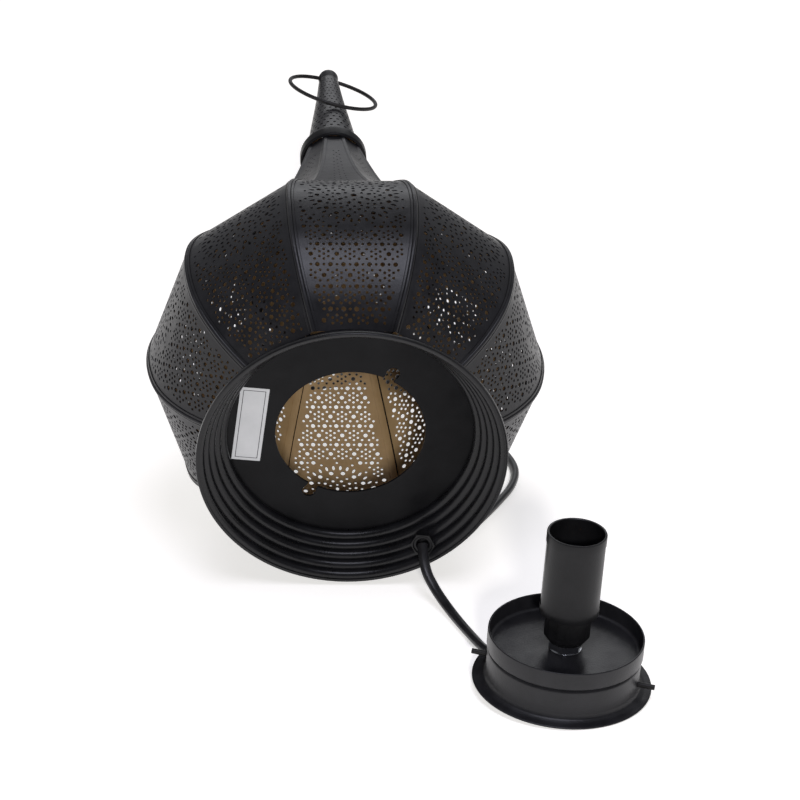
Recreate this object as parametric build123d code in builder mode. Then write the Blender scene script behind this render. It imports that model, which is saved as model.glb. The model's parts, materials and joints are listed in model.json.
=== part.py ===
"""Perforated metal lantern on its side, with its lamp holder insert taken out and standing beside it.

The lantern's own axis runs from the open rim of its base to the finial. Its local plane, lantern, has
its origin at the centre of the rim, local Z along that axis and local Y downwards. The insert has a
local plane of its own, insert, on the underside of its flange, with local X through the bayonet pins.
"""
from build123d import *
from math import cos, pi, radians, sin, tan
import os

os.makedirs("parts", exist_ok=True)

# Placing, in millimetres and degrees
lantern_x = -18.23          # centre of the base rim, from the origin
lantern_y = -113.96
lantern_tilt = 13.7         # the spire's end is raised until belly and rim rest on the floor
rim_lift = 1.95             # the rim's lowest point clears the floor by this much
insert_from_base = (94.6, -88.2)
insert_lean = 4.7           # the insert lies on its own lead, which lifts its rear left edge
insert_lean_direction = -65.5
pin_direction = -18.8       # from +X, of one bayonet pin

# Base
rim_radius = 75.0
rim_lip = 2.0
recess_depth = 22.9
plate_radius = 61.0
plate_thickness = 1.2
opening_radius = 36.5
base_sheet = 1.0
step_count = 5

# Body and neck: radius over the ridges at a height above the rim
face_count = 10
half_face = 180.0 / face_count
sheet = 0.9
rib_half_width = 2.6
rib_rise = 0.7
face_reach = 40.0           # half the width of the blank that each face is cut from
body_ridge = [(24.2, 62.4), (32, 74.6), (42, 85.0), (55, 93.4), (70, 97.9), (85, 99.2), (100, 97.2),
              (120, 87.8), (150, 65.0), (168, 53.2)]
neck_ridge = [(168, 53.2), (185, 45.0), (215, 32.4), (245, 23.4), (274.5, 16.2)]

# Spire, finial and ring
collar_height = 274.5
collar_radius = 18.4
spire_foot = 284.0
spire_foot_radius = 14.4
spire_mid = 318.0
spire_mid_radius = 10.4
spire_top = 357.0
spire_top_radius = 5.8
finial_radius = 5.7
ring_pivot_height = 361.6
finial_top = 368.2
ring_radius = 25.3
ring_wire = 1.1
ring_rest_angle = 14.5      # between the resting ring and the spire's axis
ring_turn = -15.4           # of the ring's hinge line about the spire's axis
ring_hole_radius = 2.0
ring_hole_reach = 9.0

# Insert
flange_radius = 41.8
flange_inner_radius = 33.0
insert_wall_radius = 35.6
tray_radius = 36.2
tray_seam = 16.8
tray_rim = 25.9
pin_height = 6.2
pin_reach = 43.4
pin_radius = 1.25
nipple_radius = 5.0
nut_across_flats = 14.0
holder_top = 78.8
holder_radius = 13.75
holder_inner_radius = 12.5
holder_cap_radius = 10.8
holder_cap_top = 37.0
nut_thickness = 4.6
lamp_thread_radius = 7.0

# Lead
cord_diameter = 5.2
cord_radius = cord_diameter / 2
floor_height = cord_radius + 0.15
coil_centre = (-34.0, 302.0)
coil_mid_radius = 29.2
coil_turns_wide = 3
coil_turns_high = 2
switch_centre = (22.0, 356.0)
switch_length = 58.0
switch_width = 24.0
switch_height = 16.0
plug_back = (18.0, 278.0)
plug_length = 34.0
plug_width = 35.0
plug_thickness = 13.6
plug_pin_spacing = 18.6
plug_pin_radius = 2.0
plug_pin_length = 19.0

# Directions and planes
axis_dir = Vector(0, cos(radians(lantern_tilt)), sin(radians(lantern_tilt)))
up_dir = Vector(0, -sin(radians(lantern_tilt)), cos(radians(lantern_tilt)))
side_dir = Vector(1, 0, 0)
base_centre = Vector(lantern_x, lantern_y, rim_radius * cos(radians(lantern_tilt)) + rim_lift)
lantern = Plane(origin=base_centre, x_dir=side_dir, z_dir=axis_dir)
section = Plane(origin=base_centre, x_dir=side_dir, z_dir=up_dir)
lantern_axis = Axis(base_centre, axis_dir)

lean = radians(insert_lean)
lean_dir = radians(insert_lean_direction)
insert_up = Vector(sin(lean) * cos(lean_dir), sin(lean) * sin(lean_dir), cos(lean))
insert_centre = Vector(lantern_x + insert_from_base[0], lantern_y + insert_from_base[1],
                       flange_radius * sin(lean) + 0.05)
pin_dir = Vector(cos(radians(pin_direction)), sin(radians(pin_direction)), 0)
insert = Plane(origin=insert_centre, x_dir=pin_dir, z_dir=insert_up)
insert_section = Plane(origin=insert_centre, x_dir=insert.x_dir, z_dir=-insert.y_dir)
insert_axis = Axis(insert_centre, insert_up)


def finish(name, part):
    """Label one sub-part and write its own STEP file."""
    part.label = name
    export_step(part, f"parts/{name}.step")
    return part


def radial(angle):
    """Direction square to the lantern's axis, at an angle from the top."""
    return up_dir * cos(radians(angle)) + side_dir * sin(radians(angle))


def face_section(angle):
    """Plane through the axis and the middle of a face: X outwards, Y along the axis."""
    outwards = radial(angle)
    return Plane(origin=base_centre, x_dir=outwards, z_dir=outwards.cross(axis_dir))


def edge_plane(angle, shift):
    """Plane through the axis at an angle from the top, moved sideways by shift."""
    across = radial(angle + 90)
    return Plane(origin=base_centre + across * shift, x_dir=axis_dir, z_dir=across)


def face_strip(ridge, angle, outer, inner, low, high):
    """Part of one face's sheet, from its edge plane low to its edge plane high."""
    flat = cos(radians(half_face))
    outside = [(radius * flat + outer, height) for height, radius in ridge]
    inside = [(radius * flat - inner, height) for height, radius in reversed(ridge)]
    with BuildPart() as strip:
        with BuildSketch(face_section(angle)):
            with BuildLine():
                Spline(*outside)
                Line(outside[-1], inside[0])
                Spline(*inside)
                Line(inside[-1], outside[0])
            make_face()
        extrude(amount=face_reach, both=True)
        split(bisect_by=edge_plane(*low), keep=Keep.TOP)
        split(bisect_by=edge_plane(*high), keep=Keep.BOTTOM)
    return strip.part


def turned(plane, axis, points):
    """Solid of revolution from a closed outline of (radius, height) points."""
    with BuildPart() as shape:
        with BuildSketch(plane):
            with BuildLine():
                Polyline(*points, close=True)
            make_face()
        revolve(axis=axis)
    return shape.part


# Base skirt: one sheet spun in steps from the rim up to the plate
step_run = (rim_radius - plate_radius) / step_count
step_rise = recess_depth / step_count
riser_share = 0.72
step_outline = [(rim_radius - rim_lip, 0)]
for step in range(step_count):
    step_outline.append((rim_radius - step * step_run, step * step_rise))
    step_outline.append((rim_radius - step * step_run, (step + riser_share) * step_rise))
step_outline.append((plate_radius, recess_depth))
skirt_inside = [(radius - base_sheet, height) for radius, height in reversed(step_outline[1:])]
skirt_inside[-1] = (rim_radius - rim_lip, base_sheet)
bushing_reach = 8.0
bushing_bore_cut = 9.0
bushing_hole_radius = 5.0
bushing_tube_radius = 4.8
bushing_lip_radius = 6.6
bushing_lip = 2.4
bushing_nut_place = 6.2
bushing_nut_radius = 6.1
bushing_angle = 146.2
bushing_height = 12.0
bushing_radius = 68.3
bushing_centre = base_centre + axis_dir * bushing_height + radial(bushing_angle) * bushing_radius
bushing_outward = -0.3
bushing_dir = (radial(bushing_angle) * bushing_outward - axis_dir * 0.954).normalized()
bushing = Plane(origin=bushing_centre, x_dir=side_dir, z_dir=bushing_dir)
with BuildPart() as base_skirt:
    with BuildSketch(section):
        with BuildLine():
            Polyline(*step_outline, *skirt_inside, close=True)
        make_face()
    revolve(axis=lantern_axis)
    with BuildSketch(bushing.offset(-bushing_bore_cut)):
        Circle(bushing_hole_radius)
    extrude(amount=2 * bushing_bore_cut, mode=Mode.SUBTRACT)
finish("base_skirt", base_skirt.part)

# Base plate: the round opening has two notches that let the insert's bayonet pins through
notch_angle = -61.5
notch_distance = 40.4
notch_radius = 3.4
notch_length = 8.0
notch_width = 5.6
with BuildPart() as base_plate:
    with BuildSketch(lantern.offset(recess_depth)):
        Circle(plate_radius)
        Circle(opening_radius, mode=Mode.SUBTRACT)
        with PolarLocations(notch_distance, 2, start_angle=notch_angle):
            Circle(notch_radius, mode=Mode.SUBTRACT)
        with PolarLocations(notch_distance - notch_length / 2, 2, start_angle=notch_angle):
            Rectangle(notch_length, notch_width, mode=Mode.SUBTRACT)
    extrude(amount=plate_thickness)
finish("base_plate", base_plate.part)

# Cord bushing, its nut and its clamping screw, through the stepped wall
with BuildPart() as cord_bushing:
    with BuildSketch(bushing.offset(-bushing_reach)):
        Circle(bushing_tube_radius)
    extrude(amount=2 * bushing_reach)
    with BuildSketch(bushing.offset(-bushing_reach)):
        Circle(bushing_lip_radius)
    extrude(amount=bushing_lip)
finish("cord_bushing", cord_bushing.part)
with BuildPart() as bushing_nut:
    with BuildSketch(bushing.offset(bushing_nut_place)):
        RegularPolygon(bushing_nut_radius, 6)
        Circle(bushing_tube_radius, mode=Mode.SUBTRACT)
    extrude(amount=bushing_lip)
finish("bushing_nut", bushing_nut.part)

# Blank label stuck on the plate, inside the recess
label_thickness = 0.15
label_width = 14.0
label_length = 43.5
label_turn = 5.5
label_place = (-48.6, -5.2, 0)
with BuildPart() as blank_label:
    with BuildSketch(lantern.offset(recess_depth - label_thickness)):
        with Locations(Location(label_place, (0, 0, label_turn))):
            Rectangle(label_width, label_length)
    extrude(amount=label_thickness)
finish("blank_label", blank_label.part)

# Body: ten curved faces, with a folded rib over each joint
for index in range(face_count):
    middle = index * 2 * half_face
    low_edge = middle - half_face
    high_edge = middle + half_face
    panel = face_strip(body_ridge, middle, 0, sheet, (low_edge, rib_half_width), (high_edge, -rib_half_width))
    finish(f"body_panel_{index + 1:02d}", panel)
    next_middle = middle + 2 * half_face
    with BuildPart() as rib:
        add(face_strip(body_ridge, middle, rib_rise, sheet, (high_edge, -rib_half_width), (high_edge, 0)))
        add(face_strip(body_ridge, next_middle, rib_rise, sheet, (high_edge, 0), (high_edge, rib_half_width)))
    finish(f"body_rib_{index + 1:02d}", rib.part)

# Neck: the same ten faces, drawn in to the spire
with BuildPart() as neck:
    for index in range(face_count):
        middle = index * 2 * half_face
        add(face_strip(neck_ridge, middle, 0, sheet, (middle - half_face, 0), (middle + half_face, 0)))
finish("neck", neck.part)

# Spire: a dished collar, a tapering perforated cone and a finial
collar_outline = [(17.0, collar_height - 2.4), (collar_radius, collar_height - 1.6),
                  (collar_radius, collar_height + 4.6), (spire_foot_radius + 1.2, spire_foot),
                  (spire_foot_radius + 0.1, spire_foot), (17.2, collar_height + 4.2)]
finish("spire_collar", turned(section, lantern_axis, collar_outline))
cone_outline = [(spire_foot_radius + 0.6, spire_foot), (spire_foot_radius, spire_foot + 1.6),
                (spire_mid_radius, spire_mid), (spire_top_radius, spire_top),
                (spire_top_radius - sheet, spire_top), (spire_mid_radius - sheet, spire_mid),
                (spire_foot_radius - sheet, spire_foot + 1.6), (spire_foot_radius - sheet, spire_foot)]
finish("spire_cone", turned(section, lantern_axis, cone_outline))

ring_line = side_dir * cos(radians(ring_turn)) + up_dir * sin(radians(ring_turn))
ring_out = up_dir * cos(radians(ring_turn)) - side_dir * sin(radians(ring_turn))
ring_pivot = base_centre + axis_dir * ring_pivot_height
ring_fall = ring_out * sin(radians(ring_rest_angle)) - axis_dir * cos(radians(ring_rest_angle))
ring_hole_line = Plane(origin=ring_pivot, x_dir=axis_dir, z_dir=ring_line)
finial_middle = finial_top - finial_radius
finial_foot_radius = finial_radius - 0.4
finial_foot = spire_top + 1.6
with BuildPart() as finial:
    with BuildSketch(section):
        with BuildLine():
            Line((0, spire_top), (spire_top_radius, spire_top))
            Line((spire_top_radius, spire_top), (finial_foot_radius, finial_foot))
            Line((finial_foot_radius, finial_foot), (finial_radius, finial_middle))
            RadiusArc((finial_radius, finial_middle), (0, finial_top), -finial_radius)
            Line((0, finial_top), (0, spire_top))
        make_face()
    revolve(axis=lantern_axis)
    with BuildSketch(ring_hole_line.offset(-ring_hole_reach)):
        Circle(ring_hole_radius)
    extrude(amount=2 * ring_hole_reach, mode=Mode.SUBTRACT)
finish("finial", finial.part)

ring_slack = 0.3
ring_centre = ring_pivot + ring_fall * (ring_radius - ring_slack)
ring_plane = Plane(origin=ring_centre, x_dir=ring_fall, z_dir=ring_fall.cross(ring_line))
ring_cut = Plane(origin=ring_centre, x_dir=ring_fall, z_dir=ring_line)
with BuildPart() as hanging_ring:
    with BuildSketch(ring_cut):
        with Locations((ring_radius, 0)):
            Circle(ring_wire)
    revolve(axis=Axis(ring_centre, ring_plane.z_dir))
finish("hanging_ring", hanging_ring.part)

# Insert: flanged ring below, open tray above, joined by a threaded nipple
flange_outline = [(flange_inner_radius, 0), (flange_radius, 0), (flange_radius, 1.0),
                  (insert_wall_radius + 1.2, 1.4), (insert_wall_radius, 3.0), (insert_wall_radius, tray_seam),
                  (insert_wall_radius - 1, tray_seam), (insert_wall_radius - 1, 1.0),
                  (flange_inner_radius, 1.0)]
finish("insert_flange", turned(insert_section, insert_axis, flange_outline))
tray_floor = tray_seam + 1
tray_outline = [(nipple_radius + 0.1, tray_seam), (tray_radius - 0.3, tray_seam),
                (tray_radius, tray_seam + 0.3), (tray_radius, tray_rim), (tray_radius - 1, tray_rim),
                (tray_radius - 1, tray_floor), (nipple_radius + 0.1, tray_floor)]
finish("insert_tray", turned(insert_section, insert_axis, tray_outline))

with BuildPart() as bayonet_pins:
    for direction in (1, -1):
        root = insert_centre + insert_up * pin_height + insert.x_dir * direction * insert_wall_radius
        with BuildSketch(Plane(origin=root, x_dir=insert.y_dir, z_dir=insert.x_dir * direction)):
            Circle(pin_radius)
        extrude(amount=pin_reach - insert_wall_radius)
finish("bayonet_pins", bayonet_pins.part)

nipple_foot = 9.0
nut_top = tray_floor + nut_thickness
nipple_outline = [(nipple_radius - 1.6, nipple_foot), (nipple_radius, nipple_foot),
                  (nipple_radius, nut_top + 8), (nipple_radius - 1.6, nut_top + 8)]
finish("threaded_nipple", turned(insert_section, insert_axis, nipple_outline))
with BuildPart() as holder_nut:
    with BuildSketch(insert.offset(tray_floor)):
        RegularPolygon(nut_across_flats / 2, 6, major_radius=False)
        Circle(nipple_radius, mode=Mode.SUBTRACT)
    extrude(amount=nut_thickness)
finish("holder_nut", holder_nut.part)
with BuildPart() as lock_nut:
    with BuildSketch(insert.offset(tray_seam - 3.5)):
        RegularPolygon(nut_across_flats / 2, 6, major_radius=False)
        Circle(nipple_radius, mode=Mode.SUBTRACT)
    extrude(amount=3.5)
finish("lock_nut", lock_nut.part)

# Lamp holder: cap, insulating core, outer sleeve, thread shell and centre contact
cap_outline = [(nipple_radius, nut_top), (holder_cap_radius - 2.6, nut_top), (holder_cap_radius, nut_top + 3),
               (holder_cap_radius, holder_cap_top), (nipple_radius - 1, holder_cap_top),
               (nipple_radius - 1, nut_top + 8), (nipple_radius, nut_top + 8)]
finish("holder_cap", turned(insert_section, insert_axis, cap_outline))
core_step = holder_cap_top + 5
core_floor = holder_cap_top + 8
thread_foot = holder_cap_top + 12
thread_top = thread_foot + 18
core_radius = 9.6
shell_outer_radius = lamp_thread_radius + 0.6
contact_seat_radius = 3.0
contact_foot = core_floor + 1
core_outline = [(0, holder_cap_top), (holder_inner_radius, holder_cap_top), (holder_inner_radius, core_step),
                (core_radius, core_step), (core_radius, thread_top), (shell_outer_radius, thread_top),
                (shell_outer_radius, core_floor), (contact_seat_radius, core_floor),
                (contact_seat_radius, contact_foot), (0, contact_foot)]
finish("holder_core", turned(insert_section, insert_axis, core_outline))
sleeve_foot = holder_cap_top + 0.4
slot_turn = 14.0
slot_width = 12.0
slot_length = 24.0
slot_depth = 0.6
with BuildPart() as holder_sleeve:
    with BuildSketch(insert.offset(sleeve_foot)):
        Circle(holder_radius)
        Circle(holder_inner_radius, mode=Mode.SUBTRACT)
    extrude(amount=holder_top - sleeve_foot)
    with BuildSketch(insert.offset(core_step + 6)):
        with PolarLocations(holder_radius + 2 - slot_depth, 2, start_angle=slot_turn):
            Rectangle(4, slot_width)
    extrude(amount=slot_length, mode=Mode.SUBTRACT)
finish("holder_sleeve", holder_sleeve.part)
shell_outline = [(lamp_thread_radius, thread_foot), (shell_outer_radius, thread_foot),
                 (shell_outer_radius, thread_top), (lamp_thread_radius, thread_top)]
finish("thread_shell", turned(insert_section, insert_axis, shell_outline))
contact_radius = 2.2
contact_height = 1.8
with BuildPart() as centre_contact:
    with BuildSketch(insert.offset(contact_foot)):
        Circle(contact_radius)
    extrude(amount=contact_height)
finish("centre_contact", centre_contact.part)

# Lead clamp under the tray, hung on two screws, with the two cores that rise through the nipple
lead_direction = 140.0
clamp_near = 9.0
clamp_far = 16.0
clamp_foot = 1.4
clamp_top = 8.6
clamp_width = 20.0
clamp_corner = 1.5
screw_offset = 7.0
screw_radius = 1.5
wire_offset = 1.2
wire_radius = 0.9
wire_bend = 4.0
lead_dir = Vector(cos(radians(lead_direction)), sin(radians(lead_direction)), 0)
clamp_plane = Plane(origin=insert_centre, x_dir=lead_dir, z_dir=insert_up)
clamp_middle = (clamp_near + clamp_far) / 2
with BuildPart() as lead_clamp:
    with BuildSketch(clamp_plane.offset(clamp_foot)):
        with Locations((clamp_middle, 0)):
            RectangleRounded(clamp_far - clamp_near, clamp_width, clamp_corner)
    extrude(amount=clamp_top - clamp_foot)
finish("lead_clamp", lead_clamp.part)
with BuildPart() as clamp_screws:
    with BuildSketch(clamp_plane.offset(clamp_top)):
        with Locations((clamp_middle, screw_offset), (clamp_middle, -screw_offset)):
            Circle(screw_radius)
    extrude(amount=tray_seam - clamp_top)
finish("clamp_screws", clamp_screws.part)
wire_height = (clamp_foot + clamp_top) / 2
with BuildPart() as holder_cores:
    for across in (-wire_offset, wire_offset):
        with BuildLine() as core_line:
            FilletPolyline(clamp_plane.from_local_coords(Vector(clamp_near, across, wire_height)),
                           clamp_plane.from_local_coords(Vector(0, across, wire_height)),
                           clamp_plane.from_local_coords(Vector(0, across, holder_cap_top)), radius=wire_bend)
        with BuildSketch(core_line.line ^ 0):
            Circle(wire_radius)
        sweep()
finish("holder_cores", holder_cores.part)

# Lead: routes in the order that the lead runs, each a list of points from below the base's centre
def at(x, y, z):
    return Vector(lantern_x + x, lantern_y + y, z)


def lead_tube(name, route):
    """Straight runs joined by tangent arcs, each as large as its two runs allow."""
    runs = [end - start for start, end in zip(route, route[1:])]
    radii = []
    for before, after in zip(runs, runs[1:]):
        half_turn = radians(before.get_angle(after)) / 2
        radii.append(0.45 * min(before.length, after.length) / tan(half_turn))
    with BuildPart() as tube:
        with BuildLine() as path:
            FilletPolyline(*route, radius=radii)
        with BuildSketch(path.line ^ 0):
            Circle(cord_radius)
        sweep()
    length = path.wire().length
    swept = tube.part.volume / (length * pi * cord_radius ** 2)
    print(name, "length", round(length), "volume ratio", round(swept, 3),
          "radii", [round(radius) for radius in radii])
    finish(name, tube.part)


clamp_exit = clamp_plane.from_local_coords(Vector(clamp_far, 0, wire_height))
inner_bushing_face = bushing_centre + bushing_dir * bushing_reach
outer_bushing_face = bushing_centre - bushing_dir * bushing_reach
insert_route = [clamp_exit + lead_dir * 1.6, at(73.0, -70.0, floor_height), at(62.5, -58.0, floor_height),
                at(55.5, -38.5, floor_height), at(49.0, -18.0, 3.0), at(42.0, -2.5, 7.6),
                at(36.4, 5.6, 16.6), inner_bushing_face]
lead_tube("lead_to_insert", insert_route)

switch_axis_height = switch_height / 2
switch_near = at(switch_centre[0] + switch_length / 2, switch_centre[1], switch_axis_height)
switch_far = at(switch_centre[0] - switch_length / 2, switch_centre[1], switch_axis_height)
floor_route = [outer_bushing_face, at(42.0, 42.5, 15.5), at(49.0, 55.5, 6.4), at(60.0, 69.0, floor_height),
               at(71.5, 88.0, floor_height), at(83.0, 110.5, floor_height), at(93.0, 132.0, floor_height),
               at(97.0, 154.5, floor_height), at(91.5, 179.0, floor_height), at(84.0, 203.0, floor_height),
               at(82.0, 232.0, floor_height), at(84.0, 262.0, floor_height), at(85.0, 292.0, floor_height),
               at(81.0, 322.0, floor_height), at(71.0, 347.0, 4.6), switch_near]
lead_tube("lead_to_switch", floor_route)
coil_route = [switch_far, at(-21.0, 355.0, 4.6), at(-36.0, 349.0, floor_height), at(-49.0, 337.5, floor_height)]
lead_tube("lead_to_coil", coil_route)
plug_route = [at(-27.0, 265.4, floor_height), at(-12.0, 267.0, floor_height), at(4.0, 273.5, 4.4),
              at(plug_back[0], plug_back[1], plug_thickness / 2 + 0.2)]
lead_tube("lead_to_plug", plug_route)

coil_half_width = coil_turns_wide * cord_diameter / 2
with BuildPart() as lead_coil:
    with BuildSketch(Plane.XY.offset(floor_height - cord_radius)):
        with Locations((lantern_x + coil_centre[0], lantern_y + coil_centre[1])):
            Circle(coil_mid_radius + coil_half_width)
            Circle(coil_mid_radius - coil_half_width, mode=Mode.SUBTRACT)
    extrude(amount=coil_turns_high * cord_diameter)
finish("lead_coil", lead_coil.part)

# Switch on the lead: two shells and a rocker that lies tilted to its off side
switch_wall = 1.6
switch_foot = 0.1
switch_corner = 9.0
switch_inner_corner = switch_corner - switch_wall
switch_edge = 1.5
switch_inner_length = switch_length - 2 * switch_wall
switch_inner_width = switch_width - 2 * switch_wall
rocker_length = 14.0
rocker_width = 9.0
rocker_clearance = 0.8
rocker_tilt = 7.0
rocker_pivot_height = 12.4
rocker_foot = -2.6
rocker_foot_half = 6.4
rocker_end = 4.4
rocker_dip = 3.4
switch_middle = (lantern_x + switch_centre[0], lantern_y + switch_centre[1])
with BuildPart() as switch_base:
    with BuildSketch(Plane.XY.offset(switch_foot)):
        with Locations(switch_middle):
            RectangleRounded(switch_length, switch_width, switch_corner)
    extrude(amount=switch_axis_height - switch_foot)
    with BuildSketch(Plane.XY.offset(switch_wall)):
        with Locations(switch_middle):
            RectangleRounded(switch_inner_length, switch_inner_width, switch_inner_corner)
    extrude(amount=switch_axis_height - switch_wall, mode=Mode.SUBTRACT)
finish("switch_base", switch_base.part)
with BuildPart() as switch_cover:
    with BuildSketch(Plane.XY.offset(switch_axis_height)):
        with Locations(switch_middle):
            RectangleRounded(switch_length, switch_width, switch_corner)
    extrude(amount=switch_height - switch_axis_height)
    fillet(switch_cover.faces().sort_by(Axis.Z)[-1].edges(), switch_edge)
    with BuildSketch(Plane.XY.offset(switch_axis_height)):
        with Locations(switch_middle):
            RectangleRounded(switch_inner_length, switch_inner_width, switch_inner_corner)
    extrude(amount=switch_height - switch_axis_height - switch_wall, mode=Mode.SUBTRACT)
    with BuildSketch(Plane.XY.offset(switch_axis_height)):
        with Locations(switch_middle):
            Rectangle(rocker_length + 2 * rocker_clearance, rocker_width + 2 * rocker_clearance)
    extrude(amount=switch_height, mode=Mode.SUBTRACT)
finish("switch_cover", switch_cover.part)
rocker_half = rocker_length / 2
rocker_pivot = Vector(*switch_middle, rocker_pivot_height)
rocker_side = Plane(origin=rocker_pivot, x_dir=Vector(cos(radians(rocker_tilt)), 0, sin(radians(rocker_tilt))),
                    z_dir=Vector(0, -1, 0))
with BuildPart() as switch_rocker:
    with BuildSketch(rocker_side):
        with BuildLine():
            Polyline((-rocker_half, rocker_end), (-rocker_foot_half, rocker_foot),
                     (rocker_foot_half, rocker_foot), (rocker_half, rocker_end))
            ThreePointArc((rocker_half, rocker_end), (0, rocker_dip), (-rocker_half, rocker_end))
        make_face()
    extrude(amount=rocker_width / 2, both=True)
finish("switch_rocker", switch_rocker.part)

# Plug: a flat two-pin body with its pins
plug_height = plug_thickness / 2 + 0.2
plug_back_width = 13.0
plug_back_thickness = 10.0
plug_back_corner = 3.0
plug_shoulder = plug_length * 0.55
plug_shoulder_width = plug_width - 6
plug_corner = 5.0
plug_pin_nose = 1.2
plug_plane = Plane(origin=at(plug_back[0], plug_back[1], plug_height), x_dir=(0, 1, 0), z_dir=(1, 0, 0))
with BuildPart() as plug_body:
    with BuildSketch(plug_plane):
        RectangleRounded(plug_back_width, plug_back_thickness, plug_back_corner)
    with BuildSketch(plug_plane.offset(plug_shoulder)):
        RectangleRounded(plug_shoulder_width, plug_thickness, plug_corner)
    with BuildSketch(plug_plane.offset(plug_length)):
        RectangleRounded(plug_width, plug_thickness, plug_corner)
    loft(ruled=True)
finish("plug_body", plug_body.part)
with BuildPart() as plug_pins:
    with BuildSketch(plug_plane.offset(plug_length)):
        with Locations((plug_pin_spacing / 2, 0), (-plug_pin_spacing / 2, 0)):
            Circle(plug_pin_radius)
    extrude(amount=plug_pin_length)
    fillet(plug_pins.edges().group_by(Axis.X)[-1], plug_pin_nose)
finish("plug_pins", plug_pins.part)
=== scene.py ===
"""Perforated metal lantern on its side, with its lamp holder insert standing beside it on its lead.

Sizes are in millimetres in the lantern's and the insert's local planes, and local_matrix() turns them into
metres in the frame. The lantern's local Z runs from the open rim to the finial, and its local Y points down.
"""
import bmesh
import bpy
import json
import numpy as np
from math import atan2, ceil, cos, hypot, pi, radians, sin, tan
from mathutils import Matrix, Vector
from mathutils.geometry import delaunay_2d_cdt


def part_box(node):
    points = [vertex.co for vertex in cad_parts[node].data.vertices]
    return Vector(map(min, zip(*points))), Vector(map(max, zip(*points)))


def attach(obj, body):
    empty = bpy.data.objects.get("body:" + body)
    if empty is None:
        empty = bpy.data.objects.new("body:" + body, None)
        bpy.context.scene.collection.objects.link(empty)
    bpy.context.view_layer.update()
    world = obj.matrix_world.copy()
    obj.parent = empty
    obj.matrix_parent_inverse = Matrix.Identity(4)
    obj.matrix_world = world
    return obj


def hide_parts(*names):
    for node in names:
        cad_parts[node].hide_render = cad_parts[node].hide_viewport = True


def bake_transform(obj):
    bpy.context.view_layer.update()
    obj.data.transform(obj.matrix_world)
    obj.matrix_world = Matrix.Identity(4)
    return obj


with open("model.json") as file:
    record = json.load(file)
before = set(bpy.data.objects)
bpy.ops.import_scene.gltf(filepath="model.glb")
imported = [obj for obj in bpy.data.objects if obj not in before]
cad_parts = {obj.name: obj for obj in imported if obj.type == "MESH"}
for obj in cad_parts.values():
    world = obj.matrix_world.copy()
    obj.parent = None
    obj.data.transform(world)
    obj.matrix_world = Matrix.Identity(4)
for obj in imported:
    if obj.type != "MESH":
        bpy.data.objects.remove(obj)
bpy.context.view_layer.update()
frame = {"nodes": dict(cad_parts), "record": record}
nodes = frame["nodes"]
mounts = {mount["name"]: mount for mount in frame["record"]["mounts"]}
joints = {joint["name"]: joint for joint in frame["record"]["behaviour"]["joints"]}
mm = 0.001

# Base
rim_radius = 75.0
recess_depth = 22.9
plate_radius = 61.0
plate_thickness = 1.2
skirt_sheet = 0.9
bead_count = 5
bead_depth = 1.5
bushing_angle = 146.2
bushing_height = 12.0
bushing_radius = 68.3
bushing_reach = 8.0
bushing_aim = (-0.3, -0.954)    # outwards and along the axis
label_place = (-48.6, -5.2)
label_turn = 5.5
label_size = (14.0, 43.5)
label_thickness = 0.15
label_corner = 0.3
label_frame = (1.5, 1.85)   # from the edge to the two sides of the printed line

# Body, neck and spire, as (height above the rim, radius over the ridges)
face_count = 10
half_face = 180.0 / face_count
panel_sheet = 0.66
body_ridge = [(24.2, 62.4), (32, 74.6), (42, 85.0), (55, 93.4), (70, 97.9), (85, 99.2), (100, 97.2),
              (120, 87.8), (150, 65.0), (168, 53.2)]
neck_ridge = [(168, 53.2), (185, 45.0), (215, 32.4), (245, 23.4), (274.5, 16.2)]
collar_height = 274.5
collar_radius = 18.4
spire_foot = 284.0
spire_line = [(285.6, 14.4), (300, 12.5), (318, 10.2), (340, 7.5), (357, 5.8)]

# Insert
flange_radius = 41.8
flange_inner_radius = 33.0
insert_wall_radius = 35.6
tray_radius = 36.2
tray_seam = 16.8
tray_rim = 25.9
nut_across_flats = 14.0
nut_thickness = 4.6
nipple_radius = 5.0
holder_cap_radius = 10.8
holder_cap_top = 37.0
holder_radius = 13.75
holder_inner_radius = 12.5
holder_top = 78.8
socket_height = 58.0
thread_radius = 7.0
pin_direction = -18.8
lead_direction = 140.0

# Lead
cord_diameter = 5.2
cord_narrow = 4.3
cord_pinch = 0.12
clamp_reach = 17.6
clamp_height = 5.0
floor_height = cord_diameter / 2 + 0.15
coil_centre = (-34.0, 302.0)
coil_inner_radius = 24.0
coil_outer_radius = 34.4
switch_centre = (22.0, 356.0)
switch_length = 58.0
switch_height = 16.0
plug_back = (18.0, 278.0)
plug_height = 7.0

# Camera, in degrees and millimetres from the floor point below the rim's centre
camera_place = (-71.1, -1289.1, 644.75)
camera_turn = 4.129
camera_drop = 22.589
camera_roll = 1.81
camera_lens = 132.5


# ---------------- planes and places
def local_matrix(origin, x_dir, z_dir):
    """Matrix from millimetres in a local plane to metres in the frame."""
    z_axis = Vector(z_dir).normalized()
    y_axis = z_axis.cross(Vector(x_dir)).normalized()
    x_axis = y_axis.cross(z_axis)
    turn = Matrix((x_axis, y_axis, z_axis)).transposed().to_4x4()
    return Matrix.Translation(origin) @ turn @ Matrix.Scale(mm, 4)


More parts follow.
